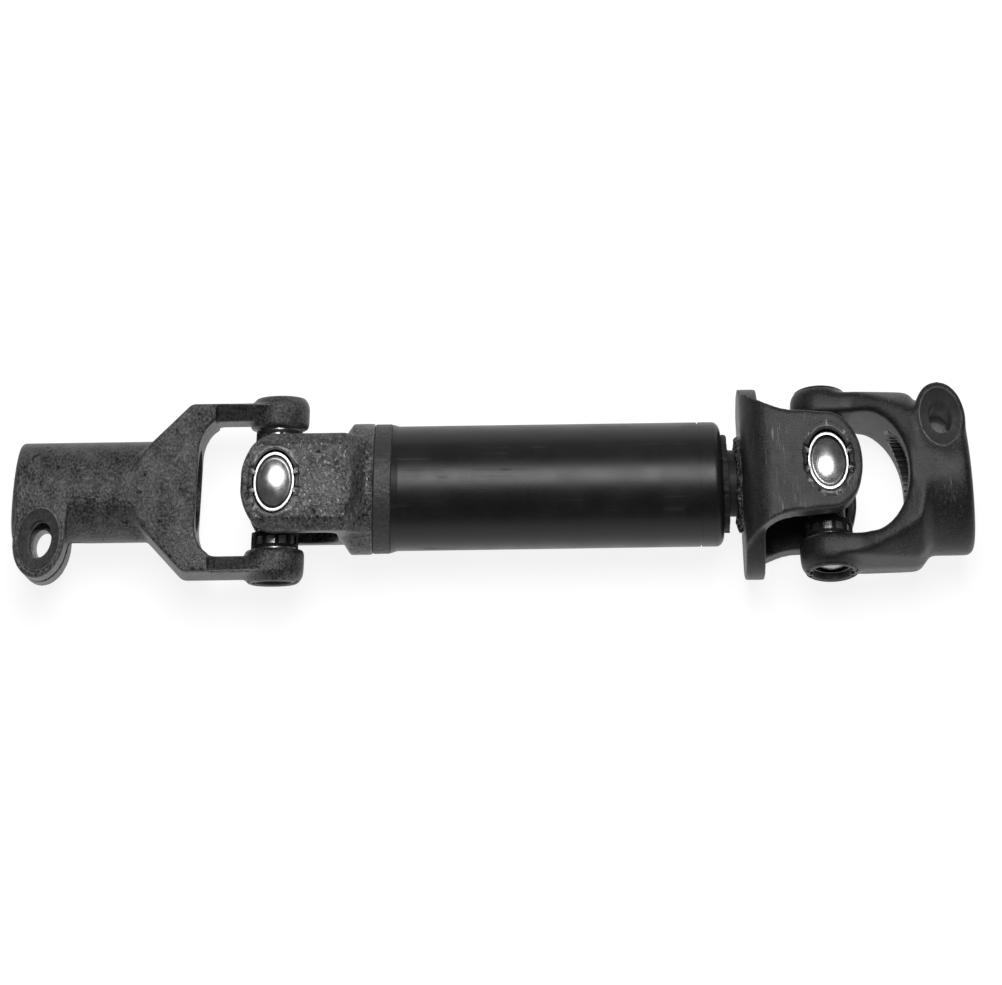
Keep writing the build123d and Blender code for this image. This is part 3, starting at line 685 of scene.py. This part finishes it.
def forge(node, body, zones, passes=AVERAGING, plugs=()):
    """Gives one yoke its rounded skin. Zones are (place, axis, radius, start, end), kept crisp. Plugs are the
    same and fill the cup seats while the skin is averaged, so that it stays level round them."""
    solid = merged_copy(node)
    for plug in plugs:
        solid = combine(solid, "UNION", round_tool(*plug))
    worker = in_scene("worker", solid)
    remesh = worker.modifiers.new("remesh", "REMESH")
    remesh.mode = "VOXEL"
    remesh.voxel_size = VOXEL
    average = worker.modifiers.new("average", "SMOOTH")
    average.factor = 0.5
    average.iterations = passes
    rounded = baked(worker)
    cutter = None
    keeper = None
    for place, axis, radius, start, end in zones:
        small = round_tool(place, axis, radius, start, end)
        large = round_tool(place, axis, radius + OVERLAP, start - OVERLAP, end + OVERLAP)
        cutter = small if cutter is None else combine(cutter, "UNION", small)
        keeper = large if keeper is None else combine(keeper, "UNION", large)
    crisp = combine(merged_copy(node), "INTERSECT", keeper)
    mesh = combine(combine(rounded, "DIFFERENCE", cutter), "UNION", crisp)
    mesh.name = f"{node}_forged"
    mesh.shade_smooth()
    mesh.set_sharp_from_angle(angle=SHARP_FORGED)
    mesh.materials.clear()
    mesh.materials.append(finishes[slot_of[node]])
    stand_for(mesh.name, mesh, body, slot_of[node], node)


def seats(side, way, reach, inner, radius):
    """A round zone for each cup seat of one pair of ears, in mm from the joint's centre."""
    return [(centre[side], sign * way, radius * MM, inner * MM, reach * MM) for sign in (1, -1)]


# %% Forge the four yokes
# Reach, inner end and radius of a crisp cup seat, and of the plug that fills it meanwhile
SEAT = (25.0, 10.0, 9.6)
PLUG = (23.495, 16.0, 9.35)
# Radius, start and end of a crisp zone along its axis
LEFT_BORE_ZONE = (10.6 * MM, -30 * MM, 47 * MM)
LEFT_BOLT_ZONE = (BOLT_RING, -26 * MM, 14 * MM)
RIGHT_BORE_ZONE = (12.7 * MM, 14 * MM, 56 * MM)
RIGHT_BOLT_ZONE = (BOLT_RING, -34 * MM, 20 * MM)
RIGHT_AVERAGING = 55
bolt_place, bolt_axis = (Vector(v) for v in bolt("left"))
forge("left_outer_yoke", "left_yoke", seats("left", back["left"], *SEAT) + [
    (Vector((0, 0, 0)), BORE, *LEFT_BORE_ZONE),
    (bolt_place, bolt_axis, *LEFT_BOLT_ZONE),
])
forge("left_inner_yoke", "tube_assembly", seats("left", up["left"], *SEAT),
      plugs=seats("left", up["left"], *PLUG))
forge("flange_yoke", "shaft_assembly", seats("right", up["right"], *SEAT),
      plugs=seats("right", up["right"], *PLUG))
bolt_place, bolt_axis = (Vector(v) for v in bolt("right"))
forge("right_outer_yoke", "right_yoke", seats("right", back["right"], *SEAT) + [
    (centre["right"], BORE, *RIGHT_BORE_ZONE),
    (bolt_place, bolt_axis, *RIGHT_BOLT_ZONE),
], passes=RIGHT_AVERAGING)

# %% [markdown]
# # Needle cups
# All eight cups are one turned shape, so one profile is spun into a closed mesh and Geometry Nodes set it
# on the pins of each body. Its corners are rounder than the solid's, because that is where the bright
# ring comes from. Each point keeps its distance from the axis and its height as attributes for the
# finish.

# %% Cup profile
CUP_RADIUS = 8.0
CUP_BORE = 6.9
CUP_MOUTH = 12.0
CUP_FLOOR = 19.7
CUP_END = 21.6
CUP_CORNER = 0.75
LIP_INSIDE = 0.25
CHANNEL = 0.8
DOME_TOP = 21.9
CUP_SEGMENTS = 96
SHARP_SPUN = math.radians(40)


def arc_points(middle_r, middle_z, radius, start, end, count):
    """Points on an arc of the profile, as (radius, height)."""
    steps = [start + (end - start) * i / (count - 1) for i in range(count)]
    return [(middle_r + radius * math.cos(a), middle_z + radius * math.sin(a)) for a in steps]


def dome_points(edge, foot, top, count):
    """The dome from its edge to the axis, flat at the top."""
    shares = [1 - i / count for i in range(count + 1)]
    return [(edge * share, foot + (top - foot) * (1 - share ** 2)) for share in shares]


corner = arc_points(CUP_RADIUS - CUP_CORNER, CUP_END - CUP_CORNER, CUP_CORNER, 0, math.pi / 2, 7)
profile = [(0, CUP_FLOOR), (CUP_BORE, CUP_FLOOR), (CUP_BORE, CUP_MOUTH), (CUP_RADIUS, CUP_MOUTH)]
profile += corner
profile += arc_points(RIM_INNER + LIP_INSIDE, CUP_END - LIP_INSIDE, LIP_INSIDE, math.pi / 2, math.pi, 6)
profile += [(RIM_INNER, CUP_END - CHANNEL)]
profile += dome_points(DOME_EDGE, CUP_END - CHANNEL, DOME_TOP, 10)


def spun(name, points, segments):
    """Spins (radius, height) points in mm about Z into a closed mesh with both attributes."""
    work = bmesh.new()
    radius_layer = work.verts.layers.float.new("ring_radius")
    reach_layer = work.verts.layers.float.new("ring_reach")
    rings = []
    for radius, height in points:
        count = 1 if radius < 1e-6 else segments
        ring = []
        for i in range(count):
            a = 2 * math.pi * i / segments
            vert = work.verts.new((radius * math.cos(a) * MM, radius * math.sin(a) * MM, height * MM))
            vert[radius_layer] = radius
            vert[reach_layer] = height
            ring.append(vert)
        rings.append(ring)
    for low, high in zip(rings, rings[1:]):
        for i in range(segments):
            after = i + 1
            quad = [low[i % len(low)], low[after % len(low)], high[after % len(high)], high[i % len(high)]]
            work.faces.new(list(dict.fromkeys(quad)))
    bmesh.ops.recalc_face_normals(work, faces=work.faces)
    mesh = bpy.data.meshes.new(name)
    work.to_mesh(mesh)
    work.free()
    mesh.shade_smooth()
    mesh.set_sharp_from_angle(angle=SHARP_SPUN)
    return mesh


cup_mesh = spun("cup_profile", profile, CUP_SEGMENTS)
print("cup faces", len(cup_mesh.polygons))

# %% [markdown]
# # Setting cups on their pins
# The tree takes a few bare points, one for each pin, and a cup to copy. Every point carries the turn that
# brings the cup's axis onto its pin. The copies become plain mesh at the end, one object for each body.

# %% Geometry tree that copies onto points


def geometry_tree(name, sockets):
    """An empty Geometry Nodes tree with a geometry in and out and these named inputs."""
    made = bpy.data.node_groups.new(name, "GeometryNodeTree")
    made.interface.new_socket("Geometry", in_out="INPUT", socket_type="NodeSocketGeometry")
    for label, kind in sockets.items():
        made.interface.new_socket(label, in_out="INPUT", socket_type=kind)
    made.interface.new_socket("Geometry", in_out="OUTPUT", socket_type="NodeSocketGeometry")
    return made, made.nodes.new("NodeGroupInput"), made.nodes.new("NodeGroupOutput")


copy_tree, start, end = geometry_tree("set_on_pins", {
    "Piece": "NodeSocketObject", "Finish": "NodeSocketMaterial",
})
tree = copy_tree
source = put(tree, "GeometryNodeObjectInfo", Object=start.outputs["Piece"])
turn_of = put(tree, "GeometryNodeInputNamedAttribute", {"data_type": "FLOAT_VECTOR"}, Name="turn")
copies = put(tree, "GeometryNodeInstanceOnPoints", Points=start.outputs["Geometry"],
             Instance=source.outputs["Geometry"], Rotation=turn_of.outputs["Attribute"])
real = put(tree, "GeometryNodeRealizeInstances", Geometry=copies.outputs["Instances"])
done = put(tree, "GeometryNodeSetMaterial", Geometry=real.outputs[0], Material=start.outputs["Finish"])
tree.links.new(done.outputs[0], end.inputs["Geometry"])
print(tree.name, "nodes", len(tree.nodes))

# %% Run a tree on a mesh


def grow(name, mesh, tree, values):
    """Runs a geometry tree on a mesh and gives its result as a plain mesh."""
    worker = in_scene("worker", mesh)
    step = worker.modifiers.new("grow", "NODES")
    step.node_group = tree
    for socket in tree.interface.items_tree:
        if socket.in_out == "INPUT" and socket.name in values:
            step[socket.identifier] = values[socket.name]
    made = baked(worker)
    made.name = name
    return made


# %% Set the cups
cup_source = in_scene("cup_source", cup_mesh)
pins = {
    "upper": lambda side: up[side], "lower": lambda side: -up[side],
    "back": lambda side: back[side], "front": lambda side: -back[side],
}
for side, pair, body in (
    ("left", ("upper", "lower"), "tube_assembly"), ("left", ("back", "front"), "left_yoke"),
    ("right", ("upper", "lower"), "shaft_assembly"), ("right", ("back", "front"), "right_yoke"),
):
    spots = bpy.data.meshes.new("spots")
    spots.from_pydata([tuple(centre[side])] * 2, [], [])
    turns = spots.attributes.new("turn", "FLOAT_VECTOR", "POINT")
    for i, pin in enumerate(pair):
        turns.data[i].vector = pins[pin](side).to_track_quat("Z", "Y").to_euler()
    mesh = grow(f"{side}_{pair[0]}_cups", spots, copy_tree, {
        "Piece": cup_source, "Finish": finishes["cup_steel"],
    })
    stand_for(mesh.name, mesh, body, "cup_steel", *(f"{side}_{pin}_cup" for pin in pair))
bpy.data.objects.remove(cup_source)

# %% [markdown]
# # The weld bead
# The bead was laid round the shaft in one pass, so it is a ring of overlapping ripples of slightly uneven
# size. Geometry Nodes set drops on a circle, size each by a fixed seed, and join them to a root that
# fills the corner. A second tree pushes every point in or out by a fine noise, which makes it as rough as
# cooled weld. The same tree roughens the wiper, whose rubber is lumpy with old grease.

# %% Weld tree
weld_tree, start, end = geometry_tree("weld_ripples", {
    "Count": "NodeSocketInt", "Ring": "NodeSocketFloat", "Drop": "NodeSocketFloat",
    "Place": "NodeSocketVector", "Finish": "NodeSocketMaterial", "Seed": "NodeSocketInt",
})
tree = weld_tree
circle = put(tree, "GeometryNodeMeshCircle", Vertices=start.outputs["Count"], Radius=start.outputs["Ring"])
drop = put(tree, "GeometryNodeMeshIcoSphere", Radius=start.outputs["Drop"], Subdivisions=4)
sizes = put(tree, "FunctionNodeRandomValue", {"data_type": "FLOAT_VECTOR"}, Seed=start.outputs["Seed"])
sizes.inputs[0].default_value = (0.55, 0.7, 0.5)
sizes.inputs[1].default_value = (1.0, 1.5, 0.95)
drops = put(tree, "GeometryNodeInstanceOnPoints", Points=circle.outputs["Mesh"],
            Instance=drop.outputs["Mesh"], Scale=sizes.outputs[0])
real = put(tree, "GeometryNodeRealizeInstances", Geometry=drops.outputs["Instances"])
turned = put(tree, "GeometryNodeTransform", Geometry=real.outputs[0], Translation=start.outputs["Place"],
             Rotation=(0, math.pi / 2, 0))
joined = tree.nodes.new("GeometryNodeJoinGeometry")
tree.links.new(start.outputs["Geometry"], joined.inputs[0])
tree.links.new(turned.outputs[0], joined.inputs[0])
real = put(tree, "GeometryNodeRealizeInstances", Geometry=joined.outputs[0])
done = put(tree, "GeometryNodeSetMaterial", Geometry=real.outputs[0], Material=start.outputs["Finish"])
tree.links.new(done.outputs[0], end.inputs["Geometry"])
print(tree.name, "nodes", len(tree.nodes))

# %% Roughening tree
LUMP_MIDDLE = 0.55
rough_tree, start, end = geometry_tree("roughen", {
    "Lump": "NodeSocketFloat", "Scale": "NodeSocketFloat", "Finish": "NodeSocketMaterial",
})
tree = rough_tree
lumps = put(tree, "ShaderNodeTexNoise", Scale=start.outputs["Scale"], Detail=2.0)
lift = calc(tree, "SUBTRACT", lumps.outputs["Fac"], LUMP_MIDDLE)
push = calc(tree, "MULTIPLY", lift, start.outputs["Lump"])
offset = put(tree, "ShaderNodeVectorMath", {"operation": "SCALE"}, Scale=push)
tree.links.new(tree.nodes.new("GeometryNodeInputNormal").outputs[0], offset.inputs[0])
moved = put(tree, "GeometryNodeSetPosition", Geometry=start.outputs["Geometry"], Offset=offset.outputs[0])
smooth = put(tree, "GeometryNodeSetShadeSmooth", Geometry=moved.outputs[0])
real = put(tree, "GeometryNodeRealizeInstances", Geometry=smooth.outputs[0])
done = put(tree, "GeometryNodeSetMaterial", Geometry=real.outputs[0], Material=start.outputs["Finish"])
tree.links.new(done.outputs[0], end.inputs["Geometry"])
print(tree.name, "nodes", len(tree.nodes))

# %% Weld
WELD_ROOT = [
    (8.4, -1.9), (9.0, -1.9), (9.6, -1.7), (10.6, -1.2), (11.5, -0.5), (11.8, 0), (8.4, 0), (8.4, -1.9),
]
WELD_SEGMENTS = 72
WELD_DROPS = 34
WELD_RING = 10.3
WELD_DROP = 1.6
WELD_BACK = 0.7
WELD_LUMP = 2.0
WELD_GRAIN = 600.0
weld_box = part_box("flange_weld")
weld_end = weld_box[1][0] / MM
weld_root = spun("weld_root", WELD_ROOT, WELD_SEGMENTS)
weld_root.transform(Matrix.Translation((weld_end * MM, 0, 0)) @ Matrix.Rotation(math.pi / 2, 4, "Y"))
bead = grow("weld_ripples", weld_root, weld_tree, {
    "Count": WELD_DROPS, "Ring": WELD_RING * MM, "Drop": WELD_DROP * MM,
    "Place": ((weld_end - WELD_BACK) * MM, 0.0, 0.0), "Finish": finishes["weld_bead"], "Seed": 4,
})
bead = grow("weld_ripples", bead, rough_tree, {
    "Lump": WELD_LUMP * MM, "Scale": WELD_GRAIN, "Finish": finishes["weld_bead"],
})
stand_for("weld_ripples", bead, "shaft_assembly", "weld_bead", "flange_weld")

# %% Wiper
WIPER_BORE = 8.45
WIPER_STEP = 0.25
WIPER_SEGMENTS = 240
WIPER_LUMP = 1.1
WIPER_GRAIN = 700.0
LUMP_ROOM = 0.5
wiper_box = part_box("wiper_seal")
wiper_start = wiper_box[0][0] / MM
wiper_length = wiper_box[1][0] / MM - wiper_start
wiper_radius = wiper_box[1][2] / MM - LUMP_ROOM
side_wall = [(wiper_radius, height) for height in (0, 0.6, 1.2)]
face_steps = int((wiper_radius - WIPER_BORE) / WIPER_STEP)
face = [(wiper_radius - WIPER_STEP * i, wiper_length) for i in range(face_steps)]
lip = spun(
    "wiper", [(WIPER_BORE, 0)] + side_wall + face + [(WIPER_BORE, wiper_length), (WIPER_BORE, 0)],
    WIPER_SEGMENTS,
)
lip.transform(Matrix.Translation((wiper_start * MM, 0, 0)) @ Matrix.Rotation(math.pi / 2, 4, "Y"))
lip = grow("wiper_lip", lip, rough_tree, {
    "Lump": WIPER_LUMP * MM, "Scale": WIPER_GRAIN, "Finish": finishes["seal_rubber"],
})
stand_for("wiper_lip", lip, "tube_assembly", "seal_rubber", "wiper_seal")
